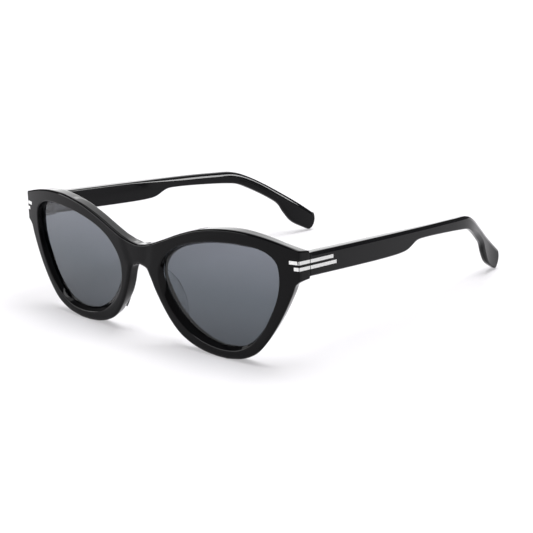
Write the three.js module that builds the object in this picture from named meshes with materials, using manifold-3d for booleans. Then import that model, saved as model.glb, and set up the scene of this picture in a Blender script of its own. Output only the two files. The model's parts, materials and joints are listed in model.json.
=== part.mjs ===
// Cat eye acetate sunglasses, standing open on the rims and the temple tips.
// Millimetres. +X is the wearer's left, -Y is the way the wearer looks, +Z is up.
// Everything is modelled for the wearer's left (x > 0) and mirrored for the right.
import * as THREE from "three";
import { mergeVertices } from "three/addons/utils/BufferGeometryUtils.js";
import Module from "manifold-3d";

// ---- front: overall shape ----
const HALF_WIDTH = 70;          // end piece, outer side
const FRONT_T = 4.8;            // thickness of the front along Y at the middle
const END_EXTRA_T = 1.0;        // how much thicker the front is at the end pieces
const BASE_Y = -7.4;            // front face at the middle of a rim, before the wrap
const WRAP = [4.85, 2.0];       // how far the ends come back: second and fourth power
const BRIDGE_Y = -1.0;          // how far the bridge stands forward
const LEAN = -0.105;            // the rims lean forward going up: dy per dz
const LEAN_END = 0.097;         // taken off the lean at the end pieces
const LEAN_Z = 22;              // height at which the base curve is stated
const EDGE = 0.5;               // polished chamfer round the front's outer edge
const END_DROP = 1.1;           // the top's back edge falls towards the hinge joint
const DROP_X = [46, 66];        // where that fall begins and where it is complete
const DROP_Z = 36;              // it applies above this height
const SIDE_TAPER = 1.8;         // the rims get smaller towards the back: at the temple side
const SIDE_TAPER_X = [40, 56];  // growing outwards over this stretch
const SIDE_TAPER_Z = [31, 34];  // and fading out upwards over this one
const NOSE_TAPER = 1.2;         // and low down beside the nose
const NOSE_TAPER_X = [20, 32];
const NOSE_TAPER_Z = [8, 18];
const BRIDGE_SPREAD = 16;       // how far out the bridge's forward stand dies away
const END_POWER = 8;            // how suddenly the front thickens at the end pieces
const BEYOND = 30;              // cutting solids run this far past the front along Y

// ---- lenses ----
const LENS_SET = 2.1;           // lens front surface behind the frame's front face
const LENS_T = 1.5;
const LENS_GRIP = 0.6;          // how far the lens edge runs into the rim's groove
const GROOVE_GAP = 0.2;

// ---- white inlay stripes ----
const STRIPE_H = 1.25;
const STRIPE_DEEP = 0.45;
const STRIPE_GAP = 0.06;
const STRIPE_FALL = 0.08;       // the stripes run down towards the temple tip: dz per dy
const STRIPES = {
  upper: { z: 40.4, front: 66.4, back: 17.9 },
  lower: { z: 38.2, front: 68.1, back: 19.6 },
};
const CORNER_Y = -0.9;          // the front corner of the end piece at stripe height

// ---- temples ----
const TEMPLE_T = 4.0;           // thickness at the hinge
const TIP_T = 2.7;              // thickness at the tip
const TEMPLE_EDGE = 0.55;       // chamfer along the temple's edges
const PADDLE_EDGE = 1.2;        // the inner edges are rounder behind the bend
const JOINT_GAP = 0.2;          // open temple to the back of the front

// ---- hinges ----
const PIN_X = 63.4;             // hinge axis, upright
const PIN_Y = 6.9;
const PIN_Z = 38.3;             // middle of the barrels
const FRONT_KNUCKLES = [0, 2, 4];
const TEMPLE_KNUCKLES = [1, 3];
const BARREL_R = 1.45;
const BORE_R = 0.7;
const SCREW_R = 0.64;
const KNUCKLE_H = 1.2;
const KNUCKLE_PITCH = 1.3;
const LEAF_DEEP = 0.8;          // how deep the leaves are let into the acetate
const LEAF_PROUD = 0.3;
const LEAF_GAP = 0.15;          // clearance round a leaf in its pocket
const LEAF_CUT = 4;             // the pockets are cut open this far past the surface
const FRONT_LEAF = { x: [62, 65.3], z: [34.9, 41.7] };
const TEMPLE_LEAF = { y: [8.4, 17.5], z: [34.9, 41] };
const NECK_HALF = 1.1;          // half width of the bars that carry the front's barrels
const ARM_FROM = [0.2, -0.6];   // where the temple leaf's bars start, from the pin: x, y
const ARM_TO_Y = 9.4;
const LEAF_BITE = 0.1;          // how far bars run into their leaf
const HEAD_R = 1.15;            // screw head
const HEAD_H = 0.6;
const HEAD_GAP = 0.06;

// ---- nose pads and core wires ----
const PAD_LOW = 8;
const PAD_HIGH = 28.6;
const PAD_REACH = 3.9;          // how far the pads stand off the rim
const PAD_SPLAY = 0.9;          // sideways run of a pad for each unit of reach
const PAD_FOOT = 0.5;           // reach and half thickness left at a pad's ends
const PAD_SWELL = 0.55;         // what the middle adds to the half thickness
const PAD_SET = [1.2, 0.9];     // foot's distance from the rim's edge: at the ends, more in the middle
const PAD_GAP = 0.25;           // off the back of the rim
const PAD_SKEW = 1.25;          // puts the widest place of a pad above its middle
const WIRE = [1.0, 1.8];        // section of the core wire, across and up
const WIRE_GAP = 0.2;

// ---- outlines, seen from the front: x, z ----
const TOP_EDGE = [
  [0, 36.9], [5.2, 37.8], [12.5, 40.6], [22.5, 44.8], [31.2, 47.5],
  [42, 49], [50, 48.9], [58, 47.8], [65, 46.1], [70, 44.65],
];
const SIDE_EDGE = [
  [70, 33.9], [68.6, 32.4], [67, 28.2], [63.9, 21.3], [60.4, 15],
  [56.1, 8.8], [51.7, 4.3], [45.8, 1.4], [38.4, 0],
];
const NOSE_EDGE = [
  [33.4, 0], [27.4, 0.7], [21.9, 2.3], [17.1, 5], [13.6, 8.6],
  [10.9, 12.6], [6.9, 20.6], [5.3, 24.9], [3.6, 28.1], [0, 29.3],
];
// where the bevel round the lens starts, on the front face
const BEVEL_EDGE = [
  [62.4, 33], [61.3, 39.7], [56.5, 43.2], [47.4, 44.4], [37.7, 43.9], [28.1, 42.3],
  [18.4, 38.7], [12.3, 33.3], [9.9, 27.4], [11.3, 18.6], [16.6, 11], [24.1, 5.8],
  [34, 3.4], [43.9, 4.4], [51.9, 9.6], [57.7, 17.9], [61.1, 26],
];
// where it ends, at the lens
const LENS_EDGE = [
  [61.9, 33], [61, 39], [56.4, 42.3], [47.4, 43.4], [37.8, 43.1], [29.1, 41.6],
  [19, 38.1], [12.9, 33.1], [10.9, 27.7], [12.7, 20.8], [17.3, 13.6], [23.5, 8.3],
  [31, 5.2], [39.7, 4.6], [47, 6.8], [53.7, 13.2], [57.8, 20.5], [61, 27],
];
const EYE = [37, 24];           // a point inside the lens, for measuring round it

// ---- temple, seen from the side: y, z, and its plan: y, x of the outer face ----
const TEMPLE_TOP = [
  [-12, 44.5], [15, 42], [55, 38.35], [98, 34.2], [109, 32.7], [117.5, 29.1], [139, 15.2], [149.8, 7.2],
];
const TEMPLE_LOW = [
  [147.2, 0], [137.6, 5.5], [133.4, 10.4], [130.6, 14.8], [126, 18.4], [117, 24], [110.8, 27],
  [104, 28.5], [76, 32.1], [70.5, 32.2], [64.5, 30.2], [59.5, 29.9], [-12, 35.9],
];
const TEMPLE_PLAN = [
  [-12, 70], [8, 70], [35, 69.2], [61, 67.9], [90, 65.7],
  [111, 62.7], [128, 56.9], [139, 53.4], [146, 51.9], [152, 51.1],
];
const WIRE_PATH = [
  [0, 38.6], [30, 36.2], [60, 34.6], [74, 34.6], [96, 31.8],
  [108, 30], [118, 25.4], [130, 17.8], [140, 10.7],
];

const wasm = await Module();
wasm.setup();

// ---------- helpers ----------

// A smooth line through the points, as [a, b] pairs.
function smooth(points, steps, closed = false) {
  const knots = points.map(([a, b]) => new THREE.Vector3(a, b, 0));
  const line = new THREE.CatmullRomCurve3(knots, closed, "centripetal");
  const list = line.getSpacedPoints(steps).map((p) => [p.x, p.y]);
  return closed ? list.slice(0, -1) : list;
}

// Moves a closed anticlockwise outline outwards by d, or inwards when d is negative.
// The distance is one number, or a function of the point.
function grow(outline, distance) {
  return outline.map(([a, b], i) => {
    const [a0, b0] = outline[(i + outline.length - 1) % outline.length];
    const [a1, b1] = outline[(i + 1) % outline.length];
    const one = new THREE.Vector2(b - b0, a0 - a).normalize();
    const two = new THREE.Vector2(b1 - b, a - a1).normalize();
    const out = one.clone().add(two).normalize();
    const d = typeof distance === "function" ? distance(a, b) : distance;
    const reach = d / Math.max(0.5, out.dot(one));
    return [a + out.x * reach, b + out.y * reach];
  });
}

// Reads a smooth closed outline at evenly spaced directions from EYE, so that two outlines
// can be joined point by point.
function roundEye(points, count) {
  const fine = smooth(points, 600, true);
  const turn = ([x, z]) => Math.atan2(z - EYE[1], x - EYE[0]);
  const sorted = fine.map((p) => [turn(p), p]).sort((p, q) => p[0] - q[0]);
  return Array.from({ length: count }, (_, i) => {
    const want = -Math.PI + (2 * Math.PI * (i + 0.5)) / count;
    const nearer = (best, p) => (Math.abs(p[0] - want) < Math.abs(best[0] - want) ? p : best);
    return sorted.reduce(nearer)[1];
  });
}

// A closed solid from vertices and triangles, turned the right way out.
function toSolid(positions, index) {
  const geometry = new THREE.BufferGeometry();
  geometry.setAttribute("position", new THREE.Float32BufferAttribute(positions, 3));
  geometry.setIndex(index);
  const merged = mergeVertices(geometry, 1e-4);
  const vertProperties = merged.attributes.position.array;
  const build = (triVerts) =>
    new wasm.Manifold(new wasm.Mesh({ numProp: 3, vertProperties, triVerts }));
  const tris = new Uint32Array(merged.index.array);
  const made = build(tris);
  return made.volume() > 0 ? made : build(tris.reverse());
}

// Joins rings of points, each with the same count, into a solid: capped at both ends, or closed on itself.
function loft(rings, closed = false) {
  const n = rings[0].length;
  const positions = rings.flat(2);
  const index = [];
  const spans = closed ? rings.length : rings.length - 1;
  for (let r = 0; r < spans; r++) {
    const here = r * n;
    const next = ((r + 1) % rings.length) * n;
    for (let i = 0; i < n; i++) {
      const j = (i + 1) % n;
      index.push(here + i, next + i, next + j, here + i, next + j, here + j);
    }
  }
  if (!closed) {
    cap(rings[0], 0, false, index);
    cap(rings[rings.length - 1], (rings.length - 1) * n, true, index);
  }
  return toSolid(positions, index);
}

// Fills a ring, seen along whichever axis it is flattest in.
function cap(ring, base, last, index) {
  const box = new THREE.Box3().setFromPoints(ring.map((p) => new THREE.Vector3(...p)));
  const size = box.getSize(new THREE.Vector3());
  const flat = [size.x, size.y, size.z].indexOf(Math.min(size.x, size.y, size.z));
  const keep = [0, 1, 2].filter((axis) => axis !== flat);
  const contour = ring.map((p) => new THREE.Vector2(p[keep[0]], p[keep[1]]));
  const turned = THREE.ShapeUtils.isClockWise(contour);
  const faces = THREE.ShapeUtils.triangulateShape(turned ? contour.slice().reverse() : contour, []);
  const at = (i) => base + (turned ? ring.length - 1 - i : i);
  // The first edge of the ring shows which way round the cap has to run.
  const sense = faces.some((f) => {
    const k = f.findIndex((v) => at(v) === base);
    return k >= 0 && at(f[(k + 1) % 3]) === base + 1;
  });
  for (const [a, b, c] of faces) {
    if (sense !== last) index.push(at(a), at(b), at(c));
    else index.push(at(a), at(c), at(b));
  }
}

// An upright wall between two surfaces y = front(x, z) and y = back(x, z), built in flat strips along X.
function slab(stations, zs, front, back) {
  return loft(stations.map((x) => [
    [x, front(x, zs[0]), zs[0]],
    [x, back(x, zs[0]), zs[0]],
    [x, back(x, zs[1]), zs[1]],
    [x, front(x, zs[1]), zs[1]],
  ]));
}

const span = (from, to, count) =>
  Array.from({ length: count + 1 }, (_, i) => from + ((to - from) * i) / count);
const block = (x0, x1, y0, y1, z0, z1) => slab([x0, x1], [z0, z1], () => y0, () => y1);

// An upright cylinder.
function post(x, y, r, z0, z1, sides = 20) {
  const ring = (z) => Array.from({ length: sides }, (_, i) => {
    const a = (2 * Math.PI * i) / sides;
    return [x + r * Math.cos(a), y + r * Math.sin(a), z];
  });
  return loft([ring(z0), ring(z1)]);
}

// ---------- shared surfaces ----------

// The front face: wrapped ends, a bridge that stands forward and rims that lean forward.
function faceY(x, z) {
  const u = (x / HALF_WIDTH) ** 2;
  const wrap = WRAP[0] * u + WRAP[1] * u * u;
  const bridge = BRIDGE_Y * Math.exp(-((x / BRIDGE_SPREAD) ** 2));
  return BASE_Y + wrap + bridge + (LEAN + LEAN_END * u) * (z - LEAN_Z);
}

function backY(x, z) {
  return faceY(x, z) + FRONT_T + END_EXTRA_T * (x / HALF_WIDTH) ** END_POWER;
}

const plan = smooth(TEMPLE_PLAN, 400);

// The temple's outer face, x at a given y.
function outerX(y) {
  const k = plan.findIndex((p) => p[0] >= y);
  if (k < 1) return plan[k < 0 ? plan.length - 1 : 0][1];
  const [y0, x0] = plan[k - 1];
  const [y1, x1] = plan[k];
  return x0 + ((x1 - x0) * (y - y0)) / (y1 - y0);
}

function templeT(y) {
  return TEMPLE_T + (TIP_T - TEMPLE_T) * THREE.MathUtils.clamp(y / 150, 0, 1);
}

function innerX(y) {
  const slope = (outerX(y + 1) - outerX(y - 1)) / 2;
  return outerX(y) - templeT(y) * Math.hypot(1, slope);
}

// The band of height that one stripe covers, right through the corner, from the front to the temple.
function stripeBand(stripe, extra) {
  const h = STRIPE_H / 2 + extra;
  const fall = STRIPE_FALL * (25 - CORNER_Y);
  const side = (x) => [
    [x, -25, stripe.z - h],
    [x, CORNER_Y, stripe.z - h],
    [x, 25, stripe.z - h - fall],
    [x, 25, stripe.z + h - fall],
    [x, CORNER_Y, stripe.z + h],
    [x, -25, stripe.z + h],
  ];
  return loft([side(60), side(76)]);
}

// ---------- the front ----------

function frontOutline() {
  const half = [...smooth(TOP_EDGE, 22), ...smooth(SIDE_EDGE, 22), ...smooth(NOSE_EDGE, 22)];
  const mirrored = half.slice(1, -1).reverse().map(([x, z]) => [-x, z]);
  return [...half, ...mirrored].reverse();
}

// The front without its lens holes: a curved plate cut to the outline, with a polished front edge.
function frontBlank() {
  const outline = frontOutline();
  const inner = grow(outline, -EDGE);
  const step = THREE.MathUtils.smoothstep;
  const taper = (x, z) => {
    const side = SIDE_TAPER * step(Math.abs(x), ...SIDE_TAPER_X) * (1 - step(z, ...SIDE_TAPER_Z));
    const nose = NOSE_TAPER * (1 - step(Math.abs(x), ...NOSE_TAPER_X)) * (1 - step(z, ...NOSE_TAPER_Z));
    return -side - nose;
  };
  const drop = ([x, z]) => [x, z > DROP_Z ? z - END_DROP * step(Math.abs(x), ...DROP_X) : z];
  const behind = grow(outline, taper).map(drop);
  const at = (list, y) => list.map(([x, z]) => [x, y(x, z), z]);
  const prism = loft([
    at(inner, () => -BEYOND),
    at(inner, (x, z) => faceY(x, z)),
    at(outline, (x, z) => faceY(x, z) + EDGE),
    at(outline, (x, z) => faceY(x, z) + EDGE + 0.6),
    at(behind, (x, z) => backY(x, z)),
    at(behind, () => BEYOND),
  ]);
  return slab(span(-71, 71, 34), [-2, 52], faceY, backY).intersect(prism);
}

// What is cut away for the left lens: the bevelled opening and the groove that holds the lens.
function lensCutter() {
  const bevel = roundEye(BEVEL_EDGE, 56);
  const edge = roundEye(LENS_EDGE, 56);
  const at = (list, y) => list.map(([x, z]) => [x, y(x, z), z]);
  const opening = loft([
    at(bevel, () => -BEYOND),
    at(bevel, (x, z) => faceY(x, z)),
    at(edge, (x, z) => faceY(x, z) + LENS_SET - GROOVE_GAP),
    at(edge, () => BEYOND),
  ]);
  const near = grow(edge, -0.6);
  const far = grow(edge, LENS_GRIP + GROOVE_GAP);
  const groove = loft([
    at(near, (x, z) => faceY(x, z) + LENS_SET - GROOVE_GAP),
    at(far, (x, z) => faceY(x, z) + LENS_SET - GROOVE_GAP),
    at(far, (x, z) => faceY(x, z) + LENS_SET + LENS_T + GROOVE_GAP),
    at(near, (x, z) => faceY(x, z) + LENS_SET + LENS_T + GROOVE_GAP),
  ], true);
  return opening.add(groove);
}

function lens() {
  const edge = grow(roundEye(LENS_EDGE, 56), LENS_GRIP);
  const prism = loft([edge.map(([x, z]) => [x, -BEYOND, z]), edge.map(([x, z]) => [x, BEYOND, z])]);
  const front = (x, z) => faceY(x, z) + LENS_SET;
  return slab(span(8, 66, 15), [0, 48], front, (x, z) => front(x, z) + LENS_T).intersect(prism);
}

// The room for one stripe on the front and round the corner; extra is the clearance of its pocket.
function frontStripeRoom(stripe, extra) {
  const deep = STRIPE_DEEP + extra;
  const onFace = slab(span(stripe.front - extra, 74, 4), [30, 48], () => -20, (x, z) => faceY(x, z) + deep);
  const onSide = block(HALF_WIDTH - deep, 76, -20, 20, 30, 48);
  return onFace.add(onSide).intersect(stripeBand(stripe, extra));
}

// ---------- the temple ----------

function templeBlank() {
  const top = smooth(TEMPLE_TOP, 26);
  const low = smooth(TEMPLE_LOW, 36);
  const side = [...top, ...low].reverse();
  const edge = (y) => TEMPLE_EDGE + (PADDLE_EDGE - TEMPLE_EDGE) * THREE.MathUtils.smoothstep(y, 90, 120);
  const outer = grow(side, -TEMPLE_EDGE);
  const inner = grow(side, (y) => -edge(y));
  const at = (list, x) => list.map(([y, z]) => [x(y), y, z]);
  const prism = loft([
    at(outer, () => 90),
    at(outer, outerX),
    at(side, (y) => outerX(y) - TEMPLE_EDGE),
    at(side, (y) => innerX(y) + edge(y)),
    at(inner, innerX),
    at(inner, () => 30),
  ]);
  const plank = loft([...span(-11, 95, 12), ...span(99, 155, 16)].map((y) => [
    [outerX(y), y, -2],
    [outerX(y), y, 48],
    [innerX(y), y, 48],
    [innerX(y), y, -2],
  ]));
  const butt = slab(span(60, 74, 4), [25, 55], () => -60, (x, z) => backY(x, z) + JOINT_GAP);
  return plank.intersect(prism).subtract(butt);
}

// A bar of the given section along the middle of the temple.
function alongTemple(path, wide, high) {
  const middle = (y) => (outerX(y) + innerX(y)) / 2;
  return loft(path.map(([y, z]) => [
    [middle(y) + wide / 2, y, z - high / 2],
    [middle(y) + wide / 2, y, z + high / 2],
    [middle(y) - wide / 2, y, z + high / 2],
    [middle(y) - wide / 2, y, z - high / 2],
  ]));
}

function coreWire() {
  return alongTemple(smooth(WIRE_PATH, 24).filter(([y]) => y > 8), ...WIRE);
}

// The channel the wire is shot into: open at the hinge end, closed near the tip.
function wireChannel() {
  const path = smooth(WIRE_PATH, 24);
  const [y, z] = path[path.length - 1];
  return alongTemple([...path, [y + 0.6, z - 0.4]], WIRE[0] + 2 * WIRE_GAP, WIRE[1] + 2 * WIRE_GAP);
}

function templeStripeRoom(stripe, extra) {
  const deep = STRIPE_DEEP + extra;
  const ys = span(0, stripe.back + extra, 4);
  const skin = loft(ys.map((y) => [
    [outerX(y) - deep, y, 30],
    [80, y, 30],
    [80, y, 48],
    [outerX(y) - deep, y, 48],
  ]));
  return skin.intersect(stripeBand(stripe, extra));
}

// ---------- the hinge ----------

const knuckle = (k) => PIN_Z + (k - 2) * KNUCKLE_PITCH;

function barrel(k) {
  return post(PIN_X, PIN_Y, BARREL_R, knuckle(k) - KNUCKLE_H / 2, knuckle(k) + KNUCKLE_H / 2);
}

const bore = () => post(PIN_X, PIN_Y, BORE_R, PIN_Z - 8, PIN_Z + 8);

// The leaf let into the back of the front; extra is the clearance of its pocket.
function frontPlate(extra, proud) {
  const xs = span(FRONT_LEAF.x[0] - extra, FRONT_LEAF.x[1] + extra, 3);
  const zs = [FRONT_LEAF.z[0] - extra, FRONT_LEAF.z[1] + extra];
  return slab(xs, zs, (x, z) => backY(x, z) - LEAF_DEEP - extra, (x, z) => backY(x, z) + proud);
}

function frontLeaf() {
  let leaf = frontPlate(0, LEAF_PROUD);
  for (const k of FRONT_KNUCKLES) {
    const neck = block(PIN_X - NECK_HALF, PIN_X + NECK_HALF, backY(PIN_X, PIN_Z) - LEAF_BITE, PIN_Y,
      knuckle(k) - KNUCKLE_H / 2, knuckle(k) + KNUCKLE_H / 2);
    leaf = leaf.add(neck).add(barrel(k));
  }
  return leaf.subtract(bore());
}

// The leaf let into the temple's inner face.
function templePlate(extra, proud) {
  const [low, high] = [TEMPLE_LEAF.z[0] - extra, TEMPLE_LEAF.z[1] + extra];
  return loft(span(TEMPLE_LEAF.y[0] - extra, TEMPLE_LEAF.y[1] + extra, 3).map((y) => [
    [innerX(y) - proud, y, low],
    [innerX(y) + LEAF_DEEP + extra, y, low],
    [innerX(y) + LEAF_DEEP + extra, y, high],
    [innerX(y) - proud, y, high],
  ]));
}

function templeLeaf() {
  let leaf = templePlate(0, LEAF_PROUD);
  for (const k of TEMPLE_KNUCKLES) {
    const arm = block(PIN_X + ARM_FROM[0], innerX(ARM_TO_Y) + LEAF_BITE, PIN_Y + ARM_FROM[1], ARM_TO_Y,
      knuckle(k) - KNUCKLE_H / 2, knuckle(k) + KNUCKLE_H / 2);
    leaf = leaf.add(arm.subtract(templeBlank())).add(barrel(k));
  }
  return leaf.subtract(bore());
}

function screw() {
  const top = knuckle(4) + KNUCKLE_H / 2;
  const foot = knuckle(0) - KNUCKLE_H / 2;
  const head = top + HEAD_GAP;
  const shank = post(PIN_X, PIN_Y, SCREW_R, foot, head + HEAD_H / 2);
  return shank.add(post(PIN_X, PIN_Y, HEAD_R, head, head + HEAD_H));
}

// ---------- the nose pad ----------

// A crescent standing off the back of the rim beside the nose, built from level sections.
function nosePad() {
  const nose = smooth(NOSE_EDGE, 200);
  const edgeX = (z) => nose.find((p) => p[1] >= z && p[0] < 20)[0];
  const rings = span(0, 1, 12).map((t) => {
    const z = PAD_LOW + (PAD_HIGH - PAD_LOW) * t;
    const bow = Math.sin(Math.PI * (0.01 + 0.98 * t) ** PAD_SKEW) ** 0.5;
    const x = edgeX(z) + PAD_SET[0] + PAD_SET[1] * bow;
    const start = backY(x, z) + PAD_GAP;
    const reach = PAD_FOOT + PAD_REACH * bow;
    const thick = PAD_FOOT + PAD_SWELL * bow;
    const lift = (along) => start + along * reach;
    const place = (along, side) => [x + PAD_SPLAY * along * reach + side * thick, lift(along), z];
    return [
      place(0, -1), place(0.5, -1), place(0.85, -0.75), place(1, -0.1),
      place(0.9, 0.6), place(0.5, 1), place(0, 1.2),
    ];
  });
  return loft(rings);
}

// ---------- assembly ----------

const MATERIALS = {
  acetate: { color: 0x0b0b0d, roughness: 0.12, metalness: 0 },
  lens: { color: 0x3a3f47, roughness: 0.05, metalness: 0, transparent: true, opacity: 0.7 },
  clear: { color: 0xd9dde0, roughness: 0.08, metalness: 0, transparent: true, opacity: 0.4 },
  inlay: { color: 0xe9e9e6, roughness: 0.25, metalness: 0.3 },
  steel: { color: 0x8d9096, roughness: 0.3, metalness: 1 },
};

const root = new THREE.Group();
root.name = "cat_eye_sunglasses";

// A mesh of the solid, mirrored across the middle when it is for the wearer's right.
function addNode(name, solid, material, mirror = false) {
  const data = solid.getMesh();
  const count = data.vertProperties.length / data.numProp;
  const positions = new Float32Array(count * 3);
  for (let i = 0; i < count; i++) {
    const from = i * data.numProp;
    positions[i * 3] = data.vertProperties[from] * (mirror ? -1 : 1);
    positions[i * 3 + 1] = data.vertProperties[from + 1];
    positions[i * 3 + 2] = data.vertProperties[from + 2];
  }
  const index = Array.from(data.triVerts);
  if (mirror) index.reverse();
  const geometry = new THREE.BufferGeometry();
  geometry.setAttribute("position", new THREE.BufferAttribute(positions, 3));
  geometry.setIndex(index);
  geometry.computeVertexNormals();
  const mesh = new THREE.Mesh(geometry, new THREE.MeshStandardMaterial(MATERIALS[material]));
  mesh.name = name;
  root.add(mesh);
}

function mirrorX(solid) {
  const data = solid.getMesh();
  const positions = [];
  for (let i = 0; i < data.vertProperties.length; i += data.numProp) {
    positions.push(-data.vertProperties[i], data.vertProperties[i + 1], data.vertProperties[i + 2]);
  }
  return toSolid(positions, Array.from(data.triVerts));
}

const blank = frontBlank();
const sideCuts = [lensCutter(), frontPlate(LEAF_GAP, LEAF_CUT)];
const nodes = {
  lens: [lens(), "lens"],
  nose_pad: [nosePad(), "clear"],
  hinge_front_leaf: [frontLeaf(), "steel"],
  hinge_temple_leaf: [templeLeaf(), "steel"],
  hinge_screw: [screw(), "steel"],
  core_wire: [coreWire(), "steel"],
};

const arm = templeBlank();
let temple = arm.subtract(wireChannel()).subtract(templePlate(LEAF_GAP, LEAF_CUT));
for (const [name, stripe] of Object.entries(STRIPES)) {
  nodes[`stripe_front_${name}`] = [blank.intersect(frontStripeRoom(stripe, 0)), "inlay"];
  nodes[`stripe_temple_${name}`] = [arm.intersect(templeStripeRoom(stripe, 0)), "inlay"];
  sideCuts.push(frontStripeRoom(stripe, STRIPE_GAP));
  temple = temple.subtract(templeStripeRoom(stripe, STRIPE_GAP));
}
nodes.temple = [temple, "acetate"];

let front = blank;
for (const cut of sideCuts) front = front.subtract(cut).subtract(mirrorX(cut));
addNode("front_frame", front, "acetate");
for (const [name, [solid, material]] of Object.entries(nodes)) {
  addNode(name + "_left", solid, material);
  addNode(name + "_right", solid, material, true);
}

// The row's origin is under the middle of the whole, at the floor.
const whole = new THREE.Box3().setFromObject(root);
const middle = whole.getCenter(new THREE.Vector3());
for (const mesh of root.children) mesh.geometry.translate(-middle.x, -middle.y, -whole.min.z);

export default root;
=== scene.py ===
"""Looks of the cat eye sunglasses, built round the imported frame.

Lengths below are in millimetres unless a name says otherwise. The design's own frame has
y = 0 close to the front corner of the end pieces; ORIGIN_Y carries it to the row frame.
"""
import json
import math

import bmesh
import bpy
import numpy as np
from mathutils import Matrix, Vector
from mathutils.geometry import delaunay_2d_cdt

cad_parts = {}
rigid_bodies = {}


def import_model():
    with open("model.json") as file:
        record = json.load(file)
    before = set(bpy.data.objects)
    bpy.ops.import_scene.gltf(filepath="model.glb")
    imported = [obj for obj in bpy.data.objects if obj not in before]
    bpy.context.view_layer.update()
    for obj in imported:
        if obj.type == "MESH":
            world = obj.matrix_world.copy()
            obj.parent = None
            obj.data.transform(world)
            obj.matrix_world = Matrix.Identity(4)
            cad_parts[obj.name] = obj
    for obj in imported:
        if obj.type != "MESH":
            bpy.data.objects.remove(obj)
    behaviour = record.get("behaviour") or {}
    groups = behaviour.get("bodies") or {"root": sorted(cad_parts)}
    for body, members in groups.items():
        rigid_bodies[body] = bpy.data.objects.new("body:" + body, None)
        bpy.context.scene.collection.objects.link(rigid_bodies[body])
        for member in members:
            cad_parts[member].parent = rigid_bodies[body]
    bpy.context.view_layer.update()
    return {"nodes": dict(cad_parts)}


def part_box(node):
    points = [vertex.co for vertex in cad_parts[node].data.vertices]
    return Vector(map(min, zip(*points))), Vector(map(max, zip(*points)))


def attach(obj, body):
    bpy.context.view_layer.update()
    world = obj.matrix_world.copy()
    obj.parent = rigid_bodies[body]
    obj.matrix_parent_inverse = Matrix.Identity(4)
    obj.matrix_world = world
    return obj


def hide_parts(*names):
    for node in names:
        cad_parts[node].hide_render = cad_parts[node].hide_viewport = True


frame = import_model()

MM = 0.001
SIDES = {"left": 1, "right": -1}

# ---- the front ----
HALF_WIDTH = 70.0
OUTER_GAP = 0.01         # the temples stay this far inside the half width
FRONT_T = 4.8
END_EXTRA_T = 1.0        # extra thickness at the very ends, falling off by a high power of x
END_POWER = 8
BASE_Y = -7.4            # the face on the middle line at LEAN_Z, before the bridge moves forward
WRAP = (4.85, 2.0)       # how far the ends curve back, by the square and the fourth power of x
BRIDGE_Y = -1.0          # the bridge stands this far forward, over BRIDGE_SPREAD on either side
BRIDGE_SPREAD = 16.0
LEAN = -0.105            # slope of the face, so that its top stands forward of its foot
LEAN_END = 0.097         # how much of that slope is gone at the ends
LEAN_Z = 22.0
END_DROP = 1.1           # the top of the end pieces falls this far from the face to the back
SIDE_TAPER = 1.8         # how far the outer edge draws in from the face to the back
NOSE_TAPER = 1.2         # the same round the nose
BRIDGE_SET = 0.32        # the middle of the bridge lies this far behind the rims
BRIDGE_HALF = 3.9        # half width of that part at BRIDGE_FOOT, growing upwards by BRIDGE_FLARE
BRIDGE_FLARE = 0.3
BRIDGE_START = 22.0      # it fades in from here up to BRIDGE_FOOT
BRIDGE_FOOT = 27.0
BRIDGE_EASE = (0.9, 1.3) # and out sideways, from inside its half width to outside it
CORNER_ROUND = 0.7       # rounding of the outline at the upper corner and at the joint's foot
JOINT_ROUND = 0.6
# width and depth of the face edge's rounding: along the top, underneath, at the end pieces
EDGE_WIDE = (0.62, 1.5, 0.4)
EDGE_DEEP = (0.45, 0.8, 0.35)
# spans of x and z over which the end pieces, side taper, nose taper and end drop set in or fade
END_SPAN = ((65.5, 68.6), (31.2, 33.2))
SIDE_SPAN = ((40, 56), (31, 34))
NOSE_SPAN = ((20, 32), (8, 18))
DROP_SPAN = ((46, 66), (36, 41))
FRONT_BACK_ROLL = 0.55   # rounding of the back edge, and what it loses at the end pieces
END_ROLL_LOSS = 0.2

# ---- lenses ----
LENS_SET = 2.1           # the lens lies this far behind the face
LENS_T = 1.5
LENS_GRIP = 0.6          # how far the lens edge runs into the rim's groove
LENS_EDGE_CUT = 0.25     # chamfer of the lens edge
LENS_EDGE_GAP = 0.05
GROOVE_GAP = 0.2
BACK_OPENING_ROLL = (0.5, 0.45)   # width and depth of the rounding at the back of the opening
BEVEL_FLAT = 0.2         # share of the bevel over which it bends down from the face
BEVEL_LIP = (0.5, 0.6)   # how far that bend reaches onto the face, and what it adds below the lens

# ---- stripes ----
STRIPE_H = 1.25
STRIPE_DEEP = 0.45
STRIPE_PROUD = 0.02
STRIPE_END = 0.1         # the stripes stop this short of the joint on either side
STRIPE_FALL = 0.08       # how fast they fall towards the tips
STRIPES = {
    "upper": {"z": 40.4, "front": 66.4, "back": 17.9},
    "lower": {"z": 38.2, "front": 68.1, "back": 19.6},
}
CORNER_Y = -0.9
MITRE = (0.2, 0.36)      # half width and depth of the fine groove where a stripe turns the corner
MITRE_LIFT = 0.01        # the face stripe ends this far in front of its corner

# ---- temples ----
CREST = (2.6, 1.8)       # height and depth of the rounding along the inner top of a temple
TEMPLE_T = 4.0
TIP_T = 2.7
TEMPLE_LENGTH = 150.0    # where the temple has thinned to TIP_T
TIP_ROUND = 1.6
HEEL_ROUND = 1.5
JOINT_GAP = 0.2
JOINT_Y = 5.3            # the temple's joint face; it follows the back of the front up to JOINT_FADE
JOINT_FADE = 12.0
JOINT_EDGE = (0.22, 0.25)         # rounding at the joint face: outer edge, inner edge
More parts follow.
